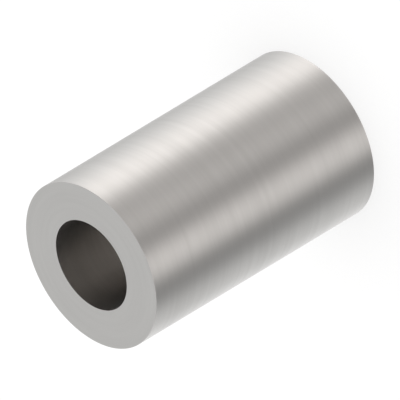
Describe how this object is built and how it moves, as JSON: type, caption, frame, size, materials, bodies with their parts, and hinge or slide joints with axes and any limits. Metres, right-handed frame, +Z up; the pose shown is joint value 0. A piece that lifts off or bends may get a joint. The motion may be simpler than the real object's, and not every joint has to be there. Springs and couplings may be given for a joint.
{
  "type": "spacer sleeve",
  "caption": "Plain round metal spacer sleeve: a straight turned tube with square ends and a through bore that clears a screw, used to hold two parts a fixed distance apart.",
  "frame": {"origin": "centre of the lower end face, at the foot of the bore, with the sleeve standing on that face", "axes": "+Z up along the bore axis to the other end face; X and Y lie in the lower end face, and the sleeve is round, so it looks the same from every side"},
  "size_m": [0.012, 0.012, 0.02],
  "materials": {
    "turned_stainless": "satin, finely turned and not plated"
  },
  "bodies": {
    "root": {"spacer_sleeve": "turned_stainless"}
  },
  "joints": []
}
